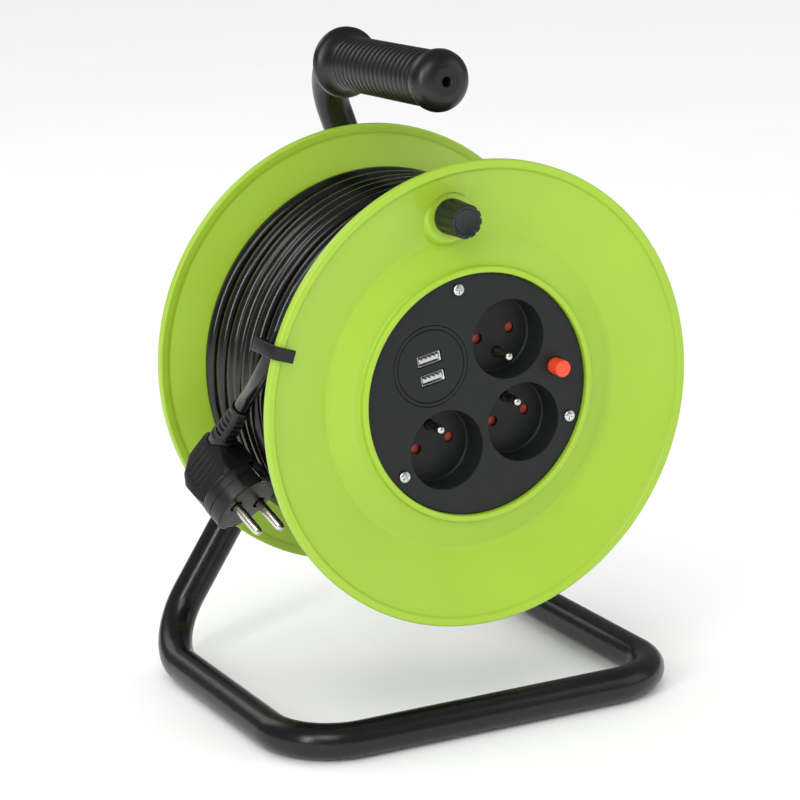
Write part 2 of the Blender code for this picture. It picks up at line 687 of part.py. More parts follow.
def make_plug(black, steel, axle):
    """Angled earthed plug: a round nose on a flat body, two pins and two earth strips."""
    side_view = outline_solid([(-19.8, -6.5), (-14.5, -12), (-7.3, -16.5), (0, -17.6), (10, -17.6),
                               (10, 16.5), (-2, 16.5), (-5, 15.5), (-19.5, 11.3)], -16, 16)
    side_view.data.transform(Matrix.Rotation(math.pi / 2, 4, "X"))
    top_view = outline_solid([(-21, -4), (-14.5, -8), (-4, -11), (10, -15), (10, 15), (-4, 11), (-14.5, 8),
                              (-21, 4)], -30, 30)
    body = combine(side_view, top_view, "INTERSECT")
    along = Matrix.Rotation(-math.pi / 2, 4, "Z")
    rounding = rod(PLUG_NOSE_RADIUS - 0.3, -30, 30, steps=28)
    rounding.data.transform(along)
    combine(body, rounding, "INTERSECT")
    nose = turned([(0, 6.5), (16.8, 6.5), (PLUG_NOSE_RADIUS, 8), (PLUG_NOSE_RADIUS, 19), (16.8, 20.5), (0, 20.5)],
                  steps=28)
    nose.data.transform(along)
    join(body, nose)
    place = plug_place()
    body.data.transform(place)
    root = aim(rod(7.0, -8, 20), BOOT_DIRECTION, BOOT_ROOT + BOOT_DIRECTION * 8)
    cut(body, root)
    for number, s in enumerate((-PIN_OFFSET, PIN_OFFSET), 1):
        hole = rod(2.7, 12, 30, (s, 0), 16)
        hole.data.transform(place @ along)
        cut(body, hole)
        pin = turned([(0, 12.4), (2.4, 12.4), (2.4, 38), (1.4, 39.5), (0, 39.5)], (s, 0), 16)
        pin.data.transform(place @ along)
        finish(pin, f"plug_pin_{number}", steel, axle)
    for number, side in enumerate((-1, 1), 1):
        slot = block((8, -3.3, side * 16.4 - 2.6), (24, 3.3, side * 16.4 + 2.6))
        slot.data.transform(place)
        cut(body, slot)
        contact = block((8.4, -2.9, side * 15.6 - 1.2), (20.2, 2.9, side * 15.6 + 1.2))
        contact.data.transform(place)
        finish(contact, f"plug_earth_{number}", steel, axle)
    finish(body, "plug_body", black, axle)
    boot = turned([(0, 0), (6.6, 0), (6.4, 8), (4.7, 33), (4.3, BOOT_LENGTH), (0, BOOT_LENGTH)], steps=20)
    finish(aim(boot, BOOT_DIRECTION, BOOT_ROOT), "plug_boot", black, axle)


# ---------------------------------------------------------------- build

def build():
    white = new_material("drum_white", WHITE, 0.45)
    green = new_material("green_plastic", GREEN, 0.35)
    charcoal = new_material("panel_charcoal", CHARCOAL, 0.6)
    black = new_material("black_plastic", BLACK, 0.4)
    gloss = new_material("frame_black", BLACK, 0.2)
    orange = new_material("button_orange", ORANGE, 0.35)
    rust = new_material("shutter_red", RUST_RED, 0.5)
    steel = new_material("steel", STEEL, 0.3, 1.0)
    brass = new_material("brass", BRASS, 0.3, 1.0)
    board = new_material("board_green", BOARD_GREEN, 0.5)
    rubber = new_material("cord_rubber", BLACK, 0.55)

    axle = (0, DRUM_FRONT_Y, AXLE_HEIGHT)
    drum = new_empty("drum_axis", None, axle, DRUM_TURN)
    cord_axis = new_empty("cord_axis", None, axle)

    make_frame_tube(gloss)
    make_grip(black)
    make_spindle_fittings(steel, black)

    make_front_flange(green, drum)
    make_back_flange(green, drum)
    make_drum_core(green, drum)
    make_hub_bushes(white, drum)
    make_flange_screws(steel, drum)
    make_cord_gland(rubber, drum)

    make_socket_panel(charcoal, drum)
    make_housing(black, drum)
    make_panel_screws(steel, drum)
    make_earth_pins(steel, drum)
    make_shutters(rust, drum)
    make_contact_bars(brass, drum)
    make_terminal_block(white, drum)
    make_usb_module(black, steel, white, board, drum)
    make_breaker(black, orange, drum)
    make_crank(black, steel, drum)

    make_cord_winding(rubber, drum)
    make_cord_lead(rubber, cord_axis)
    make_cable_clip(black, drum)
    make_plug(black, steel, cord_axis)


clear_scene()
PARTS = new_collection("extension_cord_reel")
build()
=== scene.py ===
"""Extension cord reel: the finished surfaces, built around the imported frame."""

import math
import random

import bmesh
import bpy
from mathutils import Matrix, Vector


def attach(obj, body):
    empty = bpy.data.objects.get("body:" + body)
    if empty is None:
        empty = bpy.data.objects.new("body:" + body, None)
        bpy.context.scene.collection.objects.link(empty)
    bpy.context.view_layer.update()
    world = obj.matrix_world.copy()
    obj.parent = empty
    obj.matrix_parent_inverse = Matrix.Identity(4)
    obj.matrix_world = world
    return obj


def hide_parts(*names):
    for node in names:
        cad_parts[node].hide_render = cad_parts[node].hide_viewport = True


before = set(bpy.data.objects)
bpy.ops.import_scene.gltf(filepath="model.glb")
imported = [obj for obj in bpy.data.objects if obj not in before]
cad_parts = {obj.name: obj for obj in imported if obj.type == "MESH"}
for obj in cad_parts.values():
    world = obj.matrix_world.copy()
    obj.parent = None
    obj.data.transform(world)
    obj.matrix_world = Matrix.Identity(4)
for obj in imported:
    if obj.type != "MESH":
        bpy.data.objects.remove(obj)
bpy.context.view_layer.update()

# Lengths are in millimetres, and MM turns them into metres. A place on the drum is a radius, an angle in
# degrees and a depth behind the front rim.
MM = 0.001
DRUM_FRONT_Y = -82.5
AXLE_HEIGHT = 172.2
DRUM_TURN = math.radians(10.85)
AXLE = Matrix.Translation(Vector((0, DRUM_FRONT_Y, AXLE_HEIGHT)) * MM)
DRUM = AXLE @ Matrix.Rotation(-DRUM_TURN, 4, "Y")
WORLD = Matrix.Identity(4)

LATHE_STEPS = 64


# ---------------------------------------------------------------- mesh helpers

def fillet(points, radius, steps=3, closed=True):
    """Round each corner of an outline, by no more than its short sides allow."""
    out = []
    count = len(points)
    for i in range(count):
        here = Vector(points[i])
        if not closed and i in (0, count - 1):
            out.append(here)
            continue
        back = Vector(points[i - 1]) - here
        ahead = Vector(points[(i + 1) % count]) - here
        reach = min(radius, back.length * 0.45, ahead.length * 0.45)
        a, b = back.normalized() * reach, ahead.normalized() * reach
        for k in range(steps + 1):
            t = k / steps
            out.append(here + a * (1 - t) ** 2 + b * t ** 2)
    return out


def moved(place, at):
    """The place shifted by at, in millimetres along its own axes."""
    return place @ Matrix.Translation(Vector(at) * MM)


def new_object(name, mesh, place):
    """Object for a mesh, in the scene and in its place."""
    piece = bpy.data.objects.new(name, mesh)
    bpy.context.scene.collection.objects.link(piece)
    piece.matrix_world = place
    return piece


def shade(mesh, sharp):
    """Smooth shading, with edges above the sharp angle in degrees left crisp."""
    mesh.shade_smooth()
    mesh.set_sharp_from_angle(angle=math.radians(sharp))


def from_bmesh(name, shell, place, sharp=40):
    """Turn a finished bmesh into an object, and free it."""
    bmesh.ops.recalc_face_normals(shell, faces=shell.faces)
    mesh = bpy.data.meshes.new(name)
    shell.to_mesh(mesh)
    shell.free()
    shade(mesh, sharp)
    return new_object(name, mesh, place)


def ring_of(shell, radius, depth, steps, wave=None):
    """A ring of points about the depth axis, whose radius wave may vary with the angle."""
    ring = []
    for i in range(steps):
        angle = 2 * math.pi * i / steps
        r = radius + (wave(angle) if wave else 0)
        ring.append(shell.verts.new((r * math.cos(angle) * MM, depth * MM, r * math.sin(angle) * MM)))
    return ring


def lathe(name, profile, place, steps=LATHE_STEPS, waves=None, sharp=40):
    """Solid of revolution about the depth axis from (radius, depth) points.

    A first or last point on the axis closes the solid there; otherwise the profile is a closed loop.
    """
    shell = bmesh.new()
    on_axis = profile[0][0] == 0 and profile[-1][0] == 0
    rows = []
    for i, (radius, depth) in enumerate(profile):
        if radius == 0:
            rows.append([shell.verts.new((0, depth * MM, 0))])
        else:
            rows.append(ring_of(shell, radius, depth, steps, waves[i] if waves else None))
    pairs = list(zip(rows, rows[1:]))
    if not on_axis:
        pairs.append((rows[-1], rows[0]))
    for a, b in pairs:
        for i in range(steps):
            j = (i + 1) % steps
            corners = [a[i % len(a)], a[j % len(a)], b[j % len(b)], b[i % len(b)]]
            unique = list(dict.fromkeys(corners))
            if len(unique) > 2:
                shell.faces.new(unique)
    return from_bmesh(name, shell, place, sharp)


def rod(radius, front, back, at=(0, 0), steps=48):
    """Plain cylinder from the front depth to the back one, with its axis at x and z."""
    profile = [(0, front), (radius, front), (radius, back), (0, back)]
    return lathe("cutter", profile, moved(WORLD, (at[0], 0, at[1])), steps)


def block(low, high, radius=0.0, segments=3):
    """Box between two corners, with its edges rounded by radius."""
    shell = bmesh.new()
    bmesh.ops.create_cube(shell, size=1)
    low, high = Vector(low) * MM, Vector(high) * MM
    bmesh.ops.scale(shell, vec=high - low, verts=shell.verts)
    bmesh.ops.translate(shell, vec=(low + high) / 2, verts=shell.verts)
    if radius:
        bmesh.ops.bevel(shell, geom=shell.edges[:], offset=radius * MM, segments=segments, profile=0.5,
                        affect="EDGES")
    return from_bmesh("block", shell, WORLD)


def boolean(piece, other, operation="DIFFERENCE"):
    """Cut or join piece with other, which is used up."""
    modifier = piece.modifiers.new("combine", "BOOLEAN")
    modifier.operation = operation
    modifier.object = other
    modifier.solver = "EXACT"
    apply_modifiers(piece)
    bpy.data.objects.remove(other, do_unlink=True)
    return piece


def apply_modifiers(piece):
    """Give the piece the mesh that its modifiers make, and drop them."""
    bpy.context.view_layer.update()
    evaluated = piece.evaluated_get(bpy.context.evaluated_depsgraph_get())
    mesh = bpy.data.meshes.new_from_object(evaluated)
    piece.modifiers.clear()
    piece.data = mesh
    return piece


def soften(piece, width, segments=2, angle=35):
    """Round the sharp edges and keep the shading clean."""
    bevel = piece.modifiers.new("bevel", "BEVEL")
    bevel.width = width * MM
    bevel.segments = segments
    bevel.limit_method = "ANGLE"
    bevel.angle_limit = math.radians(angle)
    bevel.use_clamp_overlap = True
    apply_modifiers(piece)
    shade(piece.data, 40)
    return piece


def crisp_flats(mesh):
    """Split the shading where a face square to the depth axis meets a rounded edge."""
    shell = bmesh.new()
    shell.from_mesh(mesh)
    shell.normal_update()
    for edge in shell.edges:
        flat = [abs(face.normal.y) > 0.9999 for face in edge.link_faces]
        if any(flat) and not all(flat):
            edge.smooth = False
    shell.to_mesh(mesh)
    shell.free()


def settle(piece, name, material, place, body, nodes=()):
    """Name a finished piece, put it in place and let it ride on its body."""
    piece.name = name
    piece.data.name = name
    crisp_flats(piece.data)
    piece.data.materials.clear()
    piece.data.materials.append(material)
    piece.data.transform(place)
    piece.matrix_world = WORLD
    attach(piece, body)
    if nodes:
        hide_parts(*nodes)
    return piece


def on_circle(radius, angle, depth=0.0):
    """Place at a radius and depth, at an angle in degrees from +X towards +Z."""
    turn = math.radians(angle)
    return Vector((radius * math.cos(turn), depth, radius * math.sin(turn)))


def smooth_path(route, spacing):
    """Points about spacing apart on a smooth curve through the route's own points."""
    ends = [2 * route[0] - route[1]] + list(route) + [2 * route[-1] - route[-2]]
    path = []
    for a, b, c, d in zip(ends, ends[1:], ends[2:], ends[3:]):
        count = max(1, round((c - b).length / spacing))
        for i in range(count):
            t = i / count
            path.append(b + (c - a) * t / 2 + (2 * a - 5 * b + 4 * c - d) * t ** 2 / 2
                        + (3 * b - a - 3 * c + d) * t ** 3 / 2)
    return path + [Vector(route[-1])]


def path_curve(name, points, radius, resolution):
    """Curve object of round section along the points."""
    curve = bpy.data.curves.new(name, "CURVE")
    curve.dimensions = "3D"
    curve.bevel_depth = radius * MM
    curve.bevel_resolution = resolution
    spline = curve.splines.new("POLY")
    spline.points.add(len(points) - 1)
    for target, point in zip(spline.points, points):
        target.co = (*(point * MM), 1)
    piece = bpy.data.objects.new(name, curve)
    bpy.context.scene.collection.objects.link(piece)
    return piece


# ---------------------------------------------------------------- materials

NOISE_LOW = 0.3
NOISE_HIGH = 0.7
COAT_ROUGHNESS = 0.12
LEAST_ROUGHNESS = 0.03
GRAIN_HEIGHT = 0.0004
WAVE_HEIGHT = 0.001
WAVE_SCALE = 35


def noise(tree, coordinates, scale, detail=3.0):
    """Noise texture whose value is centred on a half."""
    node = tree.nodes.new("ShaderNodeTexNoise")
    node.inputs["Scale"].default_value = scale
    node.inputs["Detail"].default_value = detail
    tree.links.new(coordinates, node.inputs["Vector"])
    return node.outputs["Fac"]


def spread(tree, value, low, high):
    """Stretch the middle of a noise value over the range from low to high."""
    node = tree.nodes.new("ShaderNodeMapRange")
    node.inputs["From Min"].default_value = NOISE_LOW
    node.inputs["From Max"].default_value = NOISE_HIGH
    node.inputs["To Min"].default_value = low
    node.inputs["To Max"].default_value = high
    tree.links.new(value, node.inputs["Value"])
    return node.outputs["Result"]


def surface(name, colour, roughness, metallic=0.0, mottle=0.06, mottle_scale=18, rough_spread=0.06,
            grain_scale=1500, grain=0.02, wave=0.0, coat=0.0, specular=0.5):
    """Principled surface whose colour, roughness and relief vary with noise in object space."""
    material = bpy.data.materials.new(name)
    material.use_nodes = True
    tree = material.node_tree
    shader = tree.nodes["Principled BSDF"]
    shader.inputs["Metallic"].default_value = metallic
    shader.inputs["Coat Weight"].default_value = coat
    shader.inputs["Coat Roughness"].default_value = COAT_ROUGHNESS
    shader.inputs["Specular IOR Level"].default_value = specular
    coordinates = tree.nodes.new("ShaderNodeTexCoord").outputs["Object"]

    blend = tree.nodes.new("ShaderNodeMix")
    blend.data_type = "RGBA"
    dark, light = 1 - mottle, 1 + mottle
    blend.inputs["A"].default_value = (*(channel * dark for channel in colour), 1)
    blend.inputs["B"].default_value = (*(min(1, channel * light) for channel in colour), 1)
    tree.links.new(spread(tree, noise(tree, coordinates, mottle_scale), 0, 1), blend.inputs["Factor"])
    tree.links.new(blend.outputs["Result"], shader.inputs["Base Color"])

    fine = noise(tree, coordinates, mottle_scale * 9, 5)
    low, high = max(LEAST_ROUGHNESS, roughness - rough_spread), roughness + rough_spread
    tree.links.new(spread(tree, fine, low, high), shader.inputs["Roughness"])

    bump = tree.nodes.new("ShaderNodeBump")
    bump.inputs["Strength"].default_value = grain
    bump.inputs["Distance"].default_value = GRAIN_HEIGHT
    tree.links.new(noise(tree, coordinates, grain_scale, 2), bump.inputs["Height"])
    if wave:
        swell = tree.nodes.new("ShaderNodeBump")
        swell.inputs["Strength"].default_value = wave
        swell.inputs["Distance"].default_value = WAVE_HEIGHT
        tree.links.new(noise(tree, coordinates, WAVE_SCALE, 1), swell.inputs["Height"])
        tree.links.new(swell.outputs["Normal"], bump.inputs["Normal"])
    tree.links.new(bump.outputs["Normal"], shader.inputs["Normal"])
    return material


def lime_surface():
    """Moulded lime plastic: a little light passes into it, and it has slow flow marks and a fine grain."""
    material = surface("lime_plastic", (0.318, 0.505, 0.030), 0.36, mottle=0.035, mottle_scale=9,
                       rough_spread=0.05, grain=0.05, grain_scale=2600, wave=0.05, coat=0.06)
    shader = material.node_tree.nodes["Principled BSDF"]
    shader.inputs["Subsurface Weight"].default_value = 0.12
    shader.inputs["Subsurface Radius"].default_value = (0.004, 0.006, 0.001)
    shader.inputs["Subsurface Scale"].default_value = 0.5
    return material


GREEN = lime_surface()
TUBE_BLACK = surface("tube_powder_coat", (0.0060, 0.0062, 0.0068), 0.25, mottle=0.12, mottle_scale=30,
                     rough_spread=0.04, grain=0.05, grain_scale=900, wave=0.015, specular=0.42)
GRIP_BLACK = surface("grip_black", (0.0048, 0.0048, 0.0050), 0.35, mottle=0.14, grain=0.08, grain_scale=1900,
                     specular=0.5)
PANEL = surface("panel_charcoal", (0.0098, 0.0112, 0.0110), 0.42, mottle=0.07, rough_spread=0.05, grain=0.22,
                grain_scale=2300, specular=0.3)
BLACK = surface("black_plastic", (0.0085, 0.0085, 0.009), 0.36, mottle=0.12, grain=0.1, grain_scale=2100,
                specular=0.35)
KNOB = surface("knob_black", (0.0135, 0.0145, 0.015), 0.40, mottle=0.12, grain=0.12, grain_scale=1900,
               specular=0.4)
CORD = surface("cord_pvc", (0.0045, 0.0045, 0.0047), 0.19, mottle=0.15, mottle_scale=60, rough_spread=0.02,
               grain=0.012, grain_scale=1300, wave=0.01, specular=0.5)
PLUG_BLACK = surface("plug_pvc", (0.0062, 0.0062, 0.0064), 0.38, mottle=0.12, grain=0.12, grain_scale=1700,
                     specular=0.4)
RED = surface("button_red", (0.80, 0.068, 0.024), 0.36, mottle=0.05, grain=0.12, grain_scale=1800)
SHUTTER = surface("shutter_red", (0.42, 0.055, 0.022), 0.45, mottle=0.08, grain=0.12, grain_scale=1800)
ZINC = surface("zinc_plate", (0.66, 0.67, 0.68), 0.30, 1.0, mottle=0.08, mottle_scale=260, rough_spread=0.1,
               grain=0.15, grain_scale=2400)
NICKEL = surface("nickel_plate", (0.68, 0.64, 0.58), 0.24, 1.0, mottle=0.02, mottle_scale=200,
                 rough_spread=0.08, grain=0.05, grain_scale=2400)
BRASS = surface("brass_strip", (0.72, 0.50, 0.19), 0.32, 1.0, mottle=0.08, mottle_scale=160, rough_spread=0.1)
WHITE = surface("natural_white", (0.80, 0.79, 0.75), 0.42, mottle=0.03, grain=0.1)
PORT_GREY = surface("port_grey", (0.46, 0.47, 0.49), 0.40, mottle=0.03, grain=0.08)
BOARD = surface("circuit_board", (0.015, 0.14, 0.05), 0.38, mottle=0.12, mottle_scale=300)


# ---------------------------------------------------------------- view

LENS = 131.8
SENSOR_WIDTH = 36
CAMERA_PLACE = (-679.8, -1302.3, 538.2)
CAMERA_AHEAD = (0.4456, 0.8584, -0.2541)
CAMERA_RIGHT = (0.885, -0.465, -0.018)

WORLD_LIGHT = 0.96
WORLD_REFLECTION = 0.22
FLOOR_REACH = 6
FLOOR_HEIGHT = -0.0004
LIGHT_TARGET = (0, 0, 0.17)
# Name, place, width and height in metres, and power in watts.
LIGHTS = (
    ("key", (-0.9, -1.3, 1.5), (0.9, 0.9), 9),
    ("fill", (1.3, -1.0, 0.8), (1.1, 1.1), 3.5),
    ("rim", (-0.6, 1.3, 1.2), (0.9, 0.9), 4),
    ("strip", (-1.3, -0.75, 0.75), (0.16, 0.9), 7),
)


def make_camera():
    """Long lens that looks down on the reel's front from its left."""
    data = bpy.data.cameras.new("camera")
    data.lens = LENS
    data.sensor_width = SENSOR_WIDTH
    camera = bpy.data.objects.new("camera", data)
    bpy.context.scene.collection.objects.link(camera)
    ahead = Vector(CAMERA_AHEAD).normalized()
    right = Vector(CAMERA_RIGHT)
    right = (right - ahead * right.dot(ahead)).normalized()
    up = right.cross(ahead)
    turn = Matrix((right, up, -ahead)).transposed().to_4x4()
    camera.matrix_world = moved(WORLD, CAMERA_PLACE) @ turn
    bpy.context.scene.camera = camera


def add_area(name, place, size, power):
    """Soft rectangular light that faces the middle of the reel."""
    data = bpy.data.lights.new(name, "AREA")
    data.energy = power
    data.shape = "RECTANGLE"
    data.size, data.size_y = size
    light = bpy.data.objects.new(name, data)
    bpy.context.scene.collection.objects.link(light)
    place = Vector(place)
    aim = (Vector(LIGHT_TARGET) - place).to_track_quat("-Z", "Y")
    light.matrix_world = Matrix.Translation(place) @ aim.to_matrix().to_4x4()


def make_studio():
    """Pale floor, soft lights and a bright even world that is dimmer where it is seen in a reflection."""
    world = bpy.data.worlds.new("studio")
    world.use_nodes = True
    background = world.node_tree.nodes["Background"]
    background.inputs["Color"].default_value = (1, 1, 1, 1)
    path = world.node_tree.nodes.new("ShaderNodeLightPath")
    dim = world.node_tree.nodes.new("ShaderNodeMapRange")
    dim.inputs["To Min"].default_value = WORLD_LIGHT
    dim.inputs["To Max"].default_value = WORLD_REFLECTION
    world.node_tree.links.new(path.outputs["Is Glossy Ray"], dim.inputs["Value"])
    world.node_tree.links.new(dim.outputs["Result"], background.inputs["Strength"])
    bpy.context.scene.world = world
    bpy.context.scene.view_settings.view_transform = "Standard"

    shell = bmesh.new()
    bmesh.ops.create_grid(shell, x_segments=2, y_segments=2, size=FLOOR_REACH)
    floor = from_bmesh("floor", shell, Matrix.Translation((0, 0, FLOOR_HEIGHT)))
    material = surface("floor_paper", (0.955, 0.955, 0.955), 0.9, mottle=0.01, mottle_scale=4, grain=0.02)
    floor.data.materials.append(material)

    for light in LIGHTS:
        add_area(*light)


# ---------------------------------------------------------------- cord

CORD_RADIUS = 4.0
CORD_RESOLUTION = 6
# Inner layers: radius, number of turns, and depths of the first and last turn.
INNER_LAYERS = ((69.8, 13, 15.4, 117.6), (77.6, 12, 18.2, 114.8), (85.4, 13, 17.5, 115.5))
OUTER_RADIUS = 93.2
OUTER_START = 15.2
# Depth from each turn of the outer layer to the next.
OUTER_STEPS = (8.3, 11.6, 8.2, 8.4, 13.4, 8.3, 9.6, 8.2, 12.4, 13.4)
OUTER_SWAY = 0.9
SWAY_SEED = 7
# Turns under the outer layer that show through its gaps, and are as finely divided.
TURNS_SEEN_BELOW = 14

# Each turn crosses to the next one over a share of a turn that ends at the crossing angle.
CROSSING_ANGLE = 345
CROSSING_SHARE = 0.17
COARSE_STEP = 22.5
FINE_STEP = 3

GLAND_ANGLE = 210.85

# The free stretch starts at the lead angle. The cord climbs to it over the winding's last LEAD_CLIMB degrees.
LEAD_ANGLE = 98
LEAD_CLIMB = 150
LEAD_START_RADIUS = 101.8
LEAD_START_DEPTH = 20
LEAD_SPACING = 2.5
CLIP_ANGLE = 161.8

# Places and directions on the drum at rest, with the drum's axle along Y.
PLUG_CENTRE = Vector((-109.2, 73.7, -42.1))
PLUG_PINS = Vector((0.310, -0.738, -0.599))
PLUG_TOP = Vector((0.396, -0.473, 0.787))
BOOT_ROOT = Vector((-109.6, 78.5, -28.2))
BOOT_DIRECTION = Vector((0.08, -0.69, 0.72)).normalized()
BOOT_TURN = BOOT_DIRECTION.to_track_quat("Y", "Z").to_matrix().to_4x4()
BOOT_LENGTH = 36
BOOT_SLOT_ROWS = 5
BOOT_SLOT_PITCH = 3.8
BOOT_END = BOOT_ROOT + BOOT_DIRECTION * BOOT_LENGTH

# Half the distance between the two pins of a plug, which is the same in a socket.
PIN_OFFSET = 9.5
GROOVE_COUNT = 5
GROOVE_PITCH = 3.2


def wound_slots():
    """Radius and depth of every turn, layer by layer; the last layer lies loose, with gaps."""
    layers = []
    for radius, count, low, high in INNER_LAYERS:
        layers.append([(radius, low + (high - low) * i / (count - 1)) for i in range(count)])
    depth = OUTER_START
    outer = [(OUTER_RADIUS, depth)]
    for step in OUTER_STEPS:
        depth += step
        outer.append((OUTER_RADIUS, depth))
    layers.append(outer)
    slots = []
    for number, layer in enumerate(layers):
        slots += layer if number % 2 == 0 else layer[::-1]
    return slots


def ease(t):
    """Rise smoothly from 0 to 1 as t does, and stay level outside that range."""
    t = min(1.0, max(0.0, t))
    return t * t * (3 - 2 * t)


def winding_points():
    """The whole length on the drum, each turn crossing to the next slot over about a sixth of a turn."""
    slots = wound_slots()
    rng = random.Random(SWAY_SEED)
    outer_from = len(slots) - len(OUTER_STEPS) - 1
    sway = [rng.uniform(-1, 1) for _ in slots]
    points = []
    angle = GLAND_ANGLE
    last = LEAD_ANGLE + 360 * len(slots)
    while angle < last - 1:
        turns = (angle - CROSSING_ANGLE) / 360 + 1
        number = min(int(turns), len(slots) - 1)
        share = turns - int(turns)
        radius, depth = slots[number]
        if share > 1 - CROSSING_SHARE and number + 1 < len(slots):
            t = ease((share - 1 + CROSSING_SHARE) / CROSSING_SHARE)
            radius += (slots[number + 1][0] - radius) * t
            depth += (slots[number + 1][1] - depth) * t
        seen = number >= outer_from - TURNS_SEEN_BELOW
        if number >= outer_from:
            swell = math.sin(math.pi * share) * math.sin(math.radians(angle) * 1.5 + number)
            depth += OUTER_SWAY * sway[number] * swell
        rise = ease((angle - last + LEAD_CLIMB) / LEAD_CLIMB)
        points.append(on_circle(radius + (LEAD_START_RADIUS - radius) * rise, angle,
                                depth + (LEAD_START_DEPTH - depth) * rise))
        angle += FINE_STEP if seen else COARSE_STEP
    return points


def lead_route():
    """The free stretch: from the winding up through the clip and down to the plug's boot."""
    route = [on_circle(radius, angle, depth) for radius, angle, depth in (
        (LEAD_START_RADIUS, LEAD_ANGLE, LEAD_START_DEPTH), (LEAD_START_RADIUS, 110, 18), (102.2, 122, 15.4),
        (104.2, 133, 12.8), (107.2, 143.5, 10.8), (110.4, 153.5, 10.2), (112.5, CLIP_ANGLE, 13.2),
        (112.0, 167.2, 19.6), (110.6, 170.9, 27.5), (108.6, 174.0, 36.0), (106.9, 177.1, 45.0),
        (106.6, 179.0, 49.3))]
    return route + [BOOT_END + BOOT_DIRECTION * 0.5]


def make_cord(plug_pieces):
    """The whole cord as one curve: every turn on the drum, then the lead to the plug's boot."""
    points = winding_points() + smooth_path(lead_route(), LEAD_SPACING)
    cord = path_curve("cord", points, CORD_RADIUS, CORD_RESOLUTION)
    cord.data.use_fill_caps = True
    cord.data.materials.append(CORD)
    cord.matrix_world = AXLE
    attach(cord, "drum")
    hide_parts("cord_winding", "cord_lead")


def plug_place():
    """The plug's place: its pins point along its own X, and its cord leaves along its own Z."""
    pins = PLUG_PINS.normalized()
    side = PLUG_TOP.cross(pins).normalized()
    top = pins.cross(side)
    turn = Matrix((pins, side, top)).transposed().to_4x4()
    return moved(AXLE, PLUG_CENTRE) @ turn


def tapered(stations, steps):
    """Loft of rounded rectangles along X: place, middle's height, half height, half width and squareness."""
    shell = bmesh.new()
    rows = []
    for x, middle, tall, wide, squareness in stations:
        row = []
        for i in range(steps):
            angle = 2 * math.pi * (i + 0.5) / steps
            across, up = math.cos(angle), math.sin(angle)
            share = abs(across / wide) ** squareness + abs(up / tall) ** squareness
            reach = 1 / share ** (1 / squareness)
            row.append(shell.verts.new((x * MM, reach * across * MM, (middle + reach * up) * MM)))
        rows.append(row)
    for a, b in zip(rows, rows[1:]):
        for i in range(steps):
            j = (i + 1) % steps
            shell.faces.new((a[i], a[j], b[j], b[i]))
    shell.faces.new(rows[0][::-1])
    shell.faces.new(rows[-1])
    return from_bmesh("taper", shell, WORLD, 55)


def make_plug():
    """Angled earthed plug: flat tapered body, round nose, grooved sides, pins, earth strips and boot."""
    along = Matrix.Rotation(-math.pi / 2, 4, "Z")
    body = tapered([
        (-20.0, 2.4, 8.6, 3.9, 9), (-19.4, 2.3, 9.2, 4.4, 9), (-14.5, 0.6, 13.6, 7.8, 9),
        (-9.5, -0.3, 15.8, 9.3, 9), (-4.0, -0.6, 16.8, 10.9, 9), (2.0, -0.6, 17.0, 12.6, 8),
        (7.0, -0.4, 17.2, 14.6, 7)], 96)
    envelope = lathe("envelope", [(0, -30), (17.6, -30), (17.6, 30), (0, 30)], along, 96)
    boolean(body, envelope, "INTERSECT")
    outline = fillet([(0, 6.0), (16.6, 6.0), (18, 8.0), (18, 20.4), (0, 20.4)], 1.0, 4, False)
    nose = lathe("nose", outline, along, 96)
    boolean(body, nose, "UNION")
    ledge = lathe("ledge", [(18.6, 12.6), (18.6, 13.3), (17.6, 13.3), (17.6, 12.6)], along, 96)
    boolean(body, ledge)
    for side in (-1, 1):
        for i in range(GROOVE_COUNT):
            x = -14.5 + GROOVE_PITCH * i
            y = side * (8.9 + 0.85 * i)
            boolean(body, block((x, y - 1.1, -9), (x + 1.4, y + 1.1, 8), 0.4, 2))
    for x in (-PIN_OFFSET, PIN_OFFSET):
        hole = lathe("hole", [(0, 18.8), (3.6, 18.8), (3.6, 26), (0, 26)], moved(along, (x, 0, 0)), 32)
        boolean(body, hole)
    for side in (-1, 1):
        boolean(body, block((7.6, -3.4, side * 18.4 - 2.9), (24, 3.4, side * 18.4 + 2.9)))
    place = plug_place()
    socket = rod(6.95, -9, 20)
    socket.data.transform(place.inverted() @ moved(AXLE, BOOT_ROOT + BOOT_DIRECTION * 8) @ BOOT_TURN)
    boolean(body, socket)
    soften(body, 0.45, 2)
    pieces = [settle(body, "plug_shell", PLUG_BLACK, place, "drum", ["plug_body"])]

    for number, x in enumerate((-PIN_OFFSET, PIN_OFFSET), 1):
        profile = fillet([(0, 18.9), (2.4, 18.9), (2.4, 37.6), (1.5, 39.5), (0, 39.5)], 0.7, 3, False)
        pin = lathe("pin", profile, WORLD, 40)
        pin_place = moved(place @ along, (x, 0, 0))
        pieces.append(settle(pin, f"plug_pin_{number}_plated", NICKEL, pin_place, "drum",
                             [f"plug_pin_{number}"]))
    for number, side in enumerate((-1, 1), 1):
        low = block((8.3, -2.8, side * 15.9 - 0.5), (20.1, 2.8, side * 15.9 + 0.5), 0.35)
        crown = block((10.5, -2.3, side * 16.7 - 0.5), (17.5, 2.3, side * 16.7 + 0.5), 0.4)
        boolean(low, crown, "UNION")
        pieces.append(settle(low, f"plug_strip_{number}", NICKEL, place, "drum",
                             [f"plug_earth_{number}"]))
    pieces.append(make_boot())
    return pieces


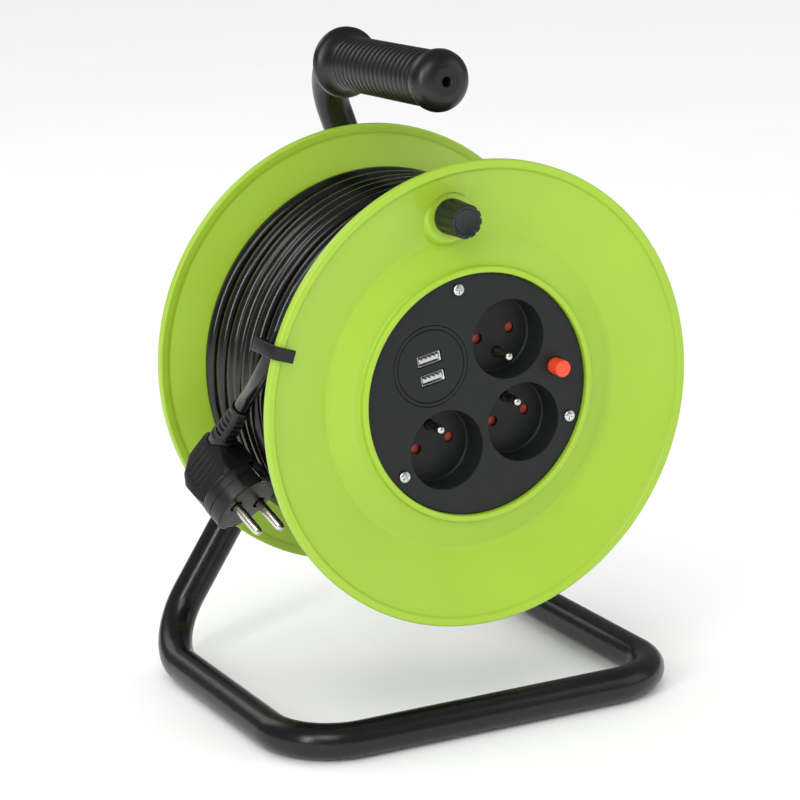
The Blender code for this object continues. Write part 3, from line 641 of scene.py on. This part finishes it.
def make_boot():
    """Strain relief: a tapered sleeve with staggered slots on four sides and a ring at each end."""
    profile = fillet([(4.05, 0.2), (6.5, 0.2), (6.5, 8.5), (6.7, 9.0), (6.7, 11.0), (6.2, 11.6), (4.9, 33.0),
                      (5.1, 33.6), (5.1, 35.2), (4.7, 35.7), (4.05, 35.7)], 0.4, 2)
    boot = lathe("boot", profile, WORLD, 64)
    for row in range(BOOT_SLOT_ROWS):
        for quarter in range(4):
            depth = 13.0 + BOOT_SLOT_PITCH * (row + quarter % 2 / 2)
            slot_box = block((-2.7, depth, 4.5), (2.7, depth + 1.9, 8.3), 0.3, 1)
            slot_box.data.transform(Matrix.Rotation(math.pi / 2 * quarter, 4, "Y"))
            boolean(boot, slot_box)
    shade(boot.data, 40)
    place = moved(AXLE, BOOT_ROOT) @ BOOT_TURN
    return settle(boot, "strain_relief", PLUG_BLACK, place, "drum", ["plug_boot"])


# ---------------------------------------------------------------- frame

# The frame's tube has flat sides, and the round one here fits inside them.
TUBE_RADIUS = 9.5
TUBE_SIDES = 12
TUBE_FLAT = TUBE_RADIUS * math.cos(math.pi / TUBE_SIDES)
TUBE_RESOLUTION = 14
TUBE_WALL = 1.2
TUBE_BEND = 34
BEND_STEPS = 16
FLOOR_LOOP = (107.8, 87.2)
GRIP_FRONT = Vector((-5.2, -58.6, 325.7))
GRIP_REAR = Vector((-5.2, FLOOR_LOOP[1], 321.3))
GRIP_RUN = GRIP_REAR - GRIP_FRONT
SPINDLE_END = 68

RIB_COUNT = 17
RIB_START = 17
RIB_PITCH = 4.9
RIB_STEPS = 8
RIB_ROOT = 13.25


def bend(before, corner, after, radius, steps):
    """Points round a corner of a bent tube, on an arc that touches both runs."""
    back = (before - corner).normalized()
    ahead = (after - corner).normalized()
    half = back.angle(ahead) / 2
    centre = corner + (back + ahead).normalized() * radius / math.sin(half)
    start = corner + back * radius / math.tan(half) - centre
    end = corner + ahead * radius / math.tan(half) - centre
    sweep = start.angle(end)
    return [centre + (start * math.sin((1 - i / steps) * sweep) + end * math.sin(i / steps * sweep))
            / math.sin(sweep) for i in range(steps + 1)]


def make_tube():
    """One length of tube: grip, diagonal, floor loop, left leg and the drum's spindle."""
    wide, deep = FLOOR_LOOP
    corners = [GRIP_FRONT + GRIP_RUN.normalized() * 5, GRIP_REAR]
    loop = ((wide, deep), (wide, -deep), (-wide, -deep), (-wide, deep))
    corners += [Vector((x, y, TUBE_FLAT)) for x, y in loop]
    corners += [Vector((0, deep, AXLE_HEIGHT)), Vector((0, DRUM_FRONT_Y + SPINDLE_END, AXLE_HEIGHT))]
    path = [corners[0]]
    for before, corner, after in zip(corners, corners[1:], corners[2:]):
        path += bend(before, corner, after, TUBE_BEND, BEND_STEPS)
    path.append(corners[-1])
    guide = path_curve("guide", path, TUBE_FLAT - 0.05, TUBE_RESOLUTION)
    bpy.context.view_layer.update()
    mesh = bpy.data.meshes.new_from_object(guide.evaluated_get(bpy.context.evaluated_depsgraph_get()))
    bpy.data.objects.remove(guide, do_unlink=True)
    tube = new_object("tube", mesh, WORLD)
    wall = tube.modifiers.new("wall", "SOLIDIFY")
    wall.thickness = TUBE_WALL * MM
    wall.offset = -1
    apply_modifiers(tube)
    shade(tube.data, 50)
    settle(tube, "bent_tube", TUBE_BLACK, WORLD, "frame", ["frame_tube"])


def make_grip():
    """Hand grip on the tube: domed end with a blind hole, rounded ribs and a flared guard."""
    profile = [(2.3, 4.5), (2.3, 0.5), (2.8, 0.05), (7.0, 0.05), (9.6, 0.5), (12.0, 1.7), (14.0, 3.6),
               (15.3, 6.0), (15.7, 8.4), (15.5, 10.6), (14.7, 13.0), (13.7, 15.6)]
    for i in range(RIB_COUNT):
        for k in range(RIB_STEPS):
            t = k / RIB_STEPS
            profile.append((RIB_ROOT + math.sin(math.pi * t) ** 0.7, RIB_START + (i + t) * RIB_PITCH))
    profile += [(RIB_ROOT, 100.3), (13.9, 102.5), (15.0, 104.8), (16.8, 106.6), (18.1, 107.6), (18.45, 108.6),
                (18.45, 110.8), (18.1, 111.6), (17.2, 111.95), (9.9, 111.95), (9.9, 4.5)]
    place = moved(WORLD, GRIP_FRONT) @ Matrix.Rotation(math.atan2(GRIP_RUN.z, GRIP_RUN.y), 4, "X")
    grip = lathe("grip", profile, WORLD, 96, sharp=55)
    settle(grip, "ribbed_grip", GRIP_BLACK, place, "frame", ["grip"])


def make_spindle_collar():
    """Plain ring on the spindle behind the drum."""
    outline = fillet([(9.8, 131.9), (14.9, 131.9), (14.9, 135.1), (9.8, 135.1)], 0.6)
    collar = lathe("collar", outline, WORLD, 72)
    settle(collar, "collar_ring", BLACK, AXLE, "frame", ["spindle_collar"])


# ---------------------------------------------------------------- flanges

FLANGE_STEPS = 224
CRANK_CIRCLE = 92.2
CRANK_ANGLE = 88
CRANK_POCKET = 12.1
CRANK_POCKET_DEPTH = 6.4
CRANK_HOLE = 3.3
FLANGE_RIBS = 8
FLANGE_SCREW_CIRCLE = 57.5
FLANGE_SCREW_ANGLES = (22.5, 112.5, 202.5, 292.5)


def make_front_flange():
    """Dished ring with a rolled rim, a moulded step round the panel and the crank's seat."""
    profile = fillet([
        (117.9, 0.9), (117.1, 0.05), (114.3, 0.05), (113.4, 0.9), (112.9, 2.0), (81.2, 12.1), (79.0, 11.7),
        (67.4, 7.3), (65.6, 6.9), (65.0, 6.2), (64.6, 3.75), (62.2, 3.65), (61.5, 4.3), (61.5, 9.0),
        (59.6, 9.0), (59.6, 10.8), (61.5, 10.8), (61.5, 18), (62.6, 18), (62.6, 10.4), (66.6, 10.3),
        (80, 15.0), (112.6, 4.7), (114, 5.0), (117.2, 4.95), (117.9, 4.2)], 0.8, 4)
    flange = lathe("front_flange", profile, WORLD, FLANGE_STEPS)
    place = on_circle(CRANK_CIRCLE, CRANK_ANGLE)
    at = (place.x, place.z)
    boolean(flange, rod(CRANK_POCKET, -5, CRANK_POCKET_DEPTH, at, 80))
    outline = fillet([(0, 6.2), (12.9, 6.2), (15.0, 10.4), (15.2, 14), (0, 14)], 1.6, 5, False)
    boss = lathe("boss", outline, moved(WORLD, (at[0], 0, at[1])), 80)
    boolean(boss, lathe("trim", [(70, 17.2), (70, 30), (115, 30), (115, 3.3)], WORLD, 160))
    boolean(flange, boss, "UNION")
    boolean(flange, rod(CRANK_HOLE, -5, 20, at, 40))
    shade(flange.data, 32)
    settle(flange, "front_disc", GREEN, DRUM, "drum", ["front_flange"])


def make_back_flange():
    """The same dish, closed by a web with ribs, screw holes and the hub sleeve."""
    profile = fillet([
        (12.2, 130.9), (15.5, 130.9), (15.5, 127), (61.5, 127), (61.5, 129), (62.0, 129.35), (64.3, 129.35),
        (65, 126.2), (66.6, 125.7), (79.5, 120.7), (112.9, 131.0), (113.6, 132.8), (117.1, 132.9),
        (117.9, 132.1), (117.9, 128.9), (117.2, 128.1), (114, 128.05), (112.6, 128.4), (80, 118),
        (66.6, 122.7), (62.6, 122.7), (62.6, 115), (61.5, 115), (61.5, 124.5), (15.5, 124.5), (15.5, 68.7),
        (12.2, 68.7)], 0.8, 4)
    flange = lathe("back_flange", profile, WORLD, FLANGE_STEPS)
    for i in range(FLANGE_RIBS):
        rib = block((14.8, 126, -0.75), (61.9, 128.6, 0.75), 0.3, 2)
        rib.data.transform(Matrix.Rotation(math.radians(-360 / FLANGE_RIBS * i), 4, "Y"))
        boolean(flange, rib, "UNION")
    for angle in FLANGE_SCREW_ANGLES:
        place = on_circle(FLANGE_SCREW_CIRCLE, angle)
        boolean(flange, rod(1.8, 110, 130, (place.x, place.z), 24))
    shade(flange.data, 32)
    settle(flange, "back_disc", GREEN, DRUM, "drum", ["back_flange"])


# ---------------------------------------------------------------- socket panel

# Number and angle of each outlet, and the side of its centre that the earth pin is on.
OUTLETS = ((1, 45, -1), (2, 315, 1), (3, 225, 1))
OUTLET_CIRCLE = 31.4
EARTH_OFFSET = 10
PANEL_RADIUS = 61.15
PANEL_FRONT = 6.2
PANEL_BACK = 8.7
USB_PLACE = on_circle(OUTLET_CIRCLE, 135)
USB_SLOTS = (3.8, -6.2)
PORT_CONTACTS = (-3.6, -1.2, 1.2, 3.6)
SCREW_CIRCLE = 55.3
SCREW_ANGLES = (90, 210, 330)
SCREW_TWISTS = (20, 65, 40)
BUTTON_PLACE = (45.6, 0, 0)
WELL_FLOOR = 21.2


def flared_hole(radius, front, back, flare, at, steps=48):
    """Cutter for a hole whose mouth is rounded out by flare."""
    profile = [(0, front - 5), (radius + flare, front - 5)]
    for i in range(5):
        turn = math.pi / 2 * i / 4
        profile.append((radius + flare * (1 - math.sin(turn)), front + flare * (1 - math.cos(turn))))
    profile += [(radius, back), (0, back)]
    return lathe("hole", profile, moved(WORLD, (at[0], 0, at[1])), steps)


def make_panel():
    """Charcoal plate with three deep wells, pin holes, a button hole and the charger's opening."""
    outline = [(0, PANEL_FRONT), (PANEL_RADIUS, PANEL_FRONT), (PANEL_RADIUS, PANEL_BACK), (0, PANEL_BACK)]
    panel = lathe("panel", fillet(outline, 0.5, 4, False), WORLD, 160)
    for _, angle, _ in OUTLETS:
        centre = on_circle(OUTLET_CIRCLE, angle)
        boolean(panel, rod(21.6, PANEL_FRONT + 1, 23.4, (centre.x, centre.z), 96), "UNION")
    well_profile = [(0, 0), (20.6, 0), (20.6, 6.2), (20.25, 6.32), (20.0, 6.75), (19.85, 20.2), (19.5, 20.9),
                    (18.9, WELL_FLOOR), (0, WELL_FLOOR)]
    for _, angle, side in OUTLETS:
        centre = on_circle(OUTLET_CIRCLE, angle)
        boolean(panel, lathe("well", well_profile, moved(WORLD, centre), 96))
        for x in (-PIN_OFFSET, PIN_OFFSET):
            boolean(panel, flared_hole(2.6, WELL_FLOOR, 30, 0.45, (centre.x + x, centre.z), 32))
        boolean(panel, flared_hole(2.7, WELL_FLOOR, 30, 0.3, (centre.x, centre.z + side * EARTH_OFFSET), 32))
        boolean(panel, rod(1.2, WELL_FLOOR + 1, 27, (centre.x, centre.z), 24), "UNION")
    boolean(panel, flared_hole(20.55, PANEL_FRONT, 30, 0.25, (USB_PLACE.x, USB_PLACE.z), 96))
    boolean(panel, flared_hole(4.7, PANEL_FRONT, 30, 0.3, (BUTTON_PLACE[0], BUTTON_PLACE[2])))
    for angle in SCREW_ANGLES:
        at = on_circle(SCREW_CIRCLE, angle)
        boolean(panel, rod(1.9, 0, 30, (at.x, at.z), 24))
    shade(panel.data, 38)
    settle(panel, "panel_plate", PANEL, DRUM, "drum", ["socket_panel"])


def make_earth_pins():
    """Round pin with a domed tip in each outlet."""
    for number, angle, side in OUTLETS:
        profile = [(0, 7.2)]
        profile += [(2.4 * math.sin(math.radians(a)), 7.2 + 2.4 * (1 - math.cos(math.radians(a))))
                    for a in range(15, 91, 15)]
        profile += [(2.4, 35.2), (0, 35.2)]
        pin = lathe("pin", profile, WORLD, 40, sharp=60)
        centre = on_circle(OUTLET_CIRCLE, angle) + Vector((0, 0, side * EARTH_OFFSET))
        settle(pin, f"earth_post_{number}", NICKEL, moved(DRUM, centre), "drum", [f"earth_pin_{number}"])


def make_shutters():
    """Thin blade behind each outlet's pin holes, which turns on the middle of the outlet."""
    for (number, angle, _), body in zip(OUTLETS, ("shutter_a", "shutter_b", "shutter_c")):
        blade = block((-13.4, 23.85, -3.4), (13.4, 25.25, 3.4), 0.5, 3)
        boolean(blade, rod(1.5, 0, 40, steps=24))
        settle(blade, f"shutter_blade_{number}", SHUTTER, moved(DRUM, on_circle(OUTLET_CIRCLE, angle)), body,
               [f"shutter_{number}"])


def make_charger():
    """Insert with a ring line, and two ports with plated shells, grey tongues and brass contacts."""
    profile = fillet([
        (0, PANEL_FRONT + 0.05), (18.0, PANEL_FRONT + 0.05), (18.15, 6.75), (18.5, 6.75),
        (18.65, PANEL_FRONT), (20.3, PANEL_FRONT), (20.3, PANEL_BACK), (17.5, PANEL_BACK), (17.5, 28),
        (15.5, 28), (15.5, PANEL_BACK), (0, PANEL_BACK)], 0.22, 3, False)
    face = lathe("face", profile, WORLD, 128)
    for z in USB_SLOTS:
        boolean(face, block((-6.8, 0, z - 3.1), (6.8, 20, z + 3.1), 0.35, 2))
    shade(face.data, 35)
    place = moved(DRUM, USB_PLACE)
    settle(face, "charger_face", PANEL, place, "drum", ["usb_module"])
    for number, z in enumerate(USB_SLOTS, 1):
        shell = block((-6.5, 6.65, z - 2.8), (6.5, 20.6, z + 2.8), 0.5, 3)
        boolean(shell, block((-6.1, 0, z - 2.4), (6.1, 30, z + 2.4), 0.3, 2))
        for x in (-3.2, 3.2):
            boolean(shell, block((x - 1.1, 10, z - 4), (x + 1.1, 14, z + 4), 0.2, 1))
        settle(shell, f"port_shell_{number}", ZINC, place, "drum", [f"usb_shell_{number}"])
        tongue = block((-5.4, 7.1, z - 1.3), (5.4, 20.9, z + 0.9), 0.2, 2)
        for x in PORT_CONTACTS:
            boolean(tongue, block((x - 0.75, 6.8, z + 0.25), (x + 0.75, 18, z + 1.2)))
        settle(tongue, f"port_tongue_{number}", PORT_GREY, place, "drum", [f"usb_tongue_{number}"])
        for k, x in enumerate(PORT_CONTACTS, 1):
            pad = block((x - 0.6, 7.6, z + 0.27), (x + 0.6, 17.9, z + 0.5), 0.06, 1)
            settle(pad, f"port_{number}_contact_{k}", BRASS, place, "drum", ())


def make_screw(head_radius, height, shank, length):
    """Domed pan head with a cross recess, its underside at depth 0."""
    profile = [(0, -height)]
    for a in range(10, 81, 10):
        turn = math.radians(a)
        profile.append((head_radius * math.sin(turn), -0.35 * height - 0.65 * height * math.cos(turn)))
    profile += [(head_radius, -0.3 * height), (head_radius, -0.08 * height), (head_radius - 0.12, 0),
                (shank, 0), (shank, length - 0.8), (0, length)]
    screw = lathe("screw", profile, WORLD, 48, sharp=45)
    for quarter in range(2):
        arm = block((-0.62 * head_radius, -height - 1, -0.11 * head_radius - 0.1),
                    (0.62 * head_radius, -0.35 * height, 0.11 * head_radius + 0.1), 0.12, 1)
        arm.data.transform(Matrix.Rotation(math.pi / 2 * quarter, 4, "Y"))
        boolean(screw, arm)
    return screw


def make_screws():
    """Three screws in the panel, and four that face back in the back flange."""
    for number, (angle, twist) in enumerate(zip(SCREW_ANGLES, SCREW_TWISTS), 1):
        turn = Matrix.Rotation(math.radians(twist), 4, "Y")
        place = moved(DRUM, on_circle(SCREW_CIRCLE, angle, PANEL_FRONT - 0.3)) @ turn
        settle(make_screw(3.0, 1.9, 1.5, 18), f"panel_screw_{number}_zinc", ZINC, place, "drum",
               [f"panel_screw_{number}"])
    for number, angle in enumerate(FLANGE_SCREW_ANGLES, 1):
        place = moved(DRUM, on_circle(FLANGE_SCREW_CIRCLE, angle, 127.3)) @ Matrix.Rotation(math.pi, 4, "X")
        settle(make_screw(3.0, 2.0, 1.5, 24), f"flange_screw_{number}_zinc", ZINC, place, "drum",
               [f"flange_screw_{number}"])


def make_button():
    """Round button with a rounded rim, on a thinner stem."""
    outline = [(0, -1.75), (3.7, -1.75), (4.28, -1.1), (4.28, 9), (3.4, 9), (3.4, 20), (0, 20)]
    profile = fillet(outline, 0.6, 5, False)
    button = lathe("button", profile, WORLD, 64)
    settle(button, "button_cap", RED, moved(DRUM, BUTTON_PLACE), "button", ["reset_button"])


# ---------------------------------------------------------------- crank and clip

KNOB_FLUTES = 12
CLIP_HALF_WIDTH = 3.25


def make_crank():
    """Fluted knob turning on a headed pin, with a plain cap let into its end."""
    def fluting(depth):
        """How the radius varies round the knob where its flutes are this deep."""
        return lambda angle: -depth * max(0.0, math.cos(KNOB_FLUTES * angle)) ** 1.5

    base, tip = 5.9, -11.0
    rows = [(3.4, base, 0), (8.6, base, 0), (8.95, base - 0.4, 0), (8.95, 4.0, 0), (8.92, 3.2, 0.1)]
    rows += [(8.9 - 0.035 * (3.2 - d), d, 0.75) for d in (2.4, 0, -3, -6, -8.6)]
    rows += [(8.48, -9.6, 0.72), (8.4, -10.4, 0.68), (8.15, -10.85, 0.6), (7.8, tip, 0.5), (7.4, -10.9, 0.3),
             (6.9, -10.65, 0.1), (6.2, -10.3, 0), (6.12, -10.1, 0), (6.12, -5.5, 0), (3.4, -5.5, 0)]
    waves = [fluting(depth) if depth else None for _, _, depth in rows]
    knob = lathe("knob", [(r, d) for r, d, _ in rows], WORLD, 192, waves)
    place = moved(DRUM, on_circle(CRANK_CIRCLE, CRANK_ANGLE))
    settle(knob, "fluted_knob", KNOB, place, "crank", ["crank_knob"])
    dish = [(0, -9.0), (1.5, -9.05), (3, -9.2), (4.5, -9.55), (6.0, -10.2), (6.0, -8.2), (0, -8.2)]
    cap = lathe("cap", dish, WORLD)
    settle(cap, "knob_cap", KNOB, place, "crank", ["crank_cap"])
    outline = [(0, -7.8), (4.6, -7.8), (5.2, -7.0), (5.2, -5.8), (3, -5.8), (3, 9.5), (0, 9.5)]
    pin = lathe("pin", fillet(outline, 0.4, 3, False), WORLD, 40)
    settle(pin, "crank_stub", ZINC, place, "drum", ["crank_pin"])


def make_clip():
    """Clip over the rim: front tab, top strap, a hook behind the rim and an arm that holds the cord."""
    outline = [(108.7, -2.0), (120.2, -2.0), (120.2, 22.2), (107.6, 22.2), (107.6, 20.7), (118.35, 20.7),
               (118.35, 6.4), (114.1, 6.4), (114.1, 5.4), (118.35, 5.4), (118.35, -0.35), (108.7, -0.35)]
    shell = bmesh.new()
    low = [shell.verts.new((r * MM, d * MM, -CLIP_HALF_WIDTH * MM)) for r, d in outline]
    high = [shell.verts.new((r * MM, d * MM, CLIP_HALF_WIDTH * MM)) for r, d in outline]
    shell.faces.new(low)
    shell.faces.new(high[::-1])
    for i in range(len(outline)):
        j = (i + 1) % len(outline)
        shell.faces.new((low[j], low[i], high[i], high[j]))
    clip = from_bmesh("clip", shell, WORLD)
    soften(clip, 0.35, 3, 30)
    turn = Matrix.Rotation(-math.radians(CLIP_ANGLE) + DRUM_TURN, 4, "Y")
    settle(clip, "rim_clip", BLACK, DRUM @ turn, "drum", ["cable_clip"])


# ---------------------------------------------------------------- nodes kept as they are

KEPT = {
    "drum_core": GREEN,
    "cord_gland": BLACK, "housing": BLACK, "breaker_body": BLACK, "spindle_plug": BLACK,
    "hub_bush_front": WHITE, "hub_bush_rear": WHITE, "terminal_block": WHITE,
    "live_bar": BRASS, "neutral_bar": BRASS, "earth_bar": BRASS,
    "usb_board": BOARD,
    "spindle_washer": ZINC, "spindle_screw": ZINC,
}


def refinish_kept_nodes():
    """Give the nodes that nothing replaces a finished material."""
    for name, material in KEPT.items():
        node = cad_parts[name]
        for slot in node.material_slots:
            slot.material = material


make_camera()
make_studio()
make_cord(make_plug())
make_tube()
make_grip()
make_spindle_collar()
make_front_flange()
make_back_flange()
make_panel()
make_earth_pins()
make_shutters()
make_charger()
make_screws()
make_button()
make_crank()
make_clip()
refinish_kept_nodes()
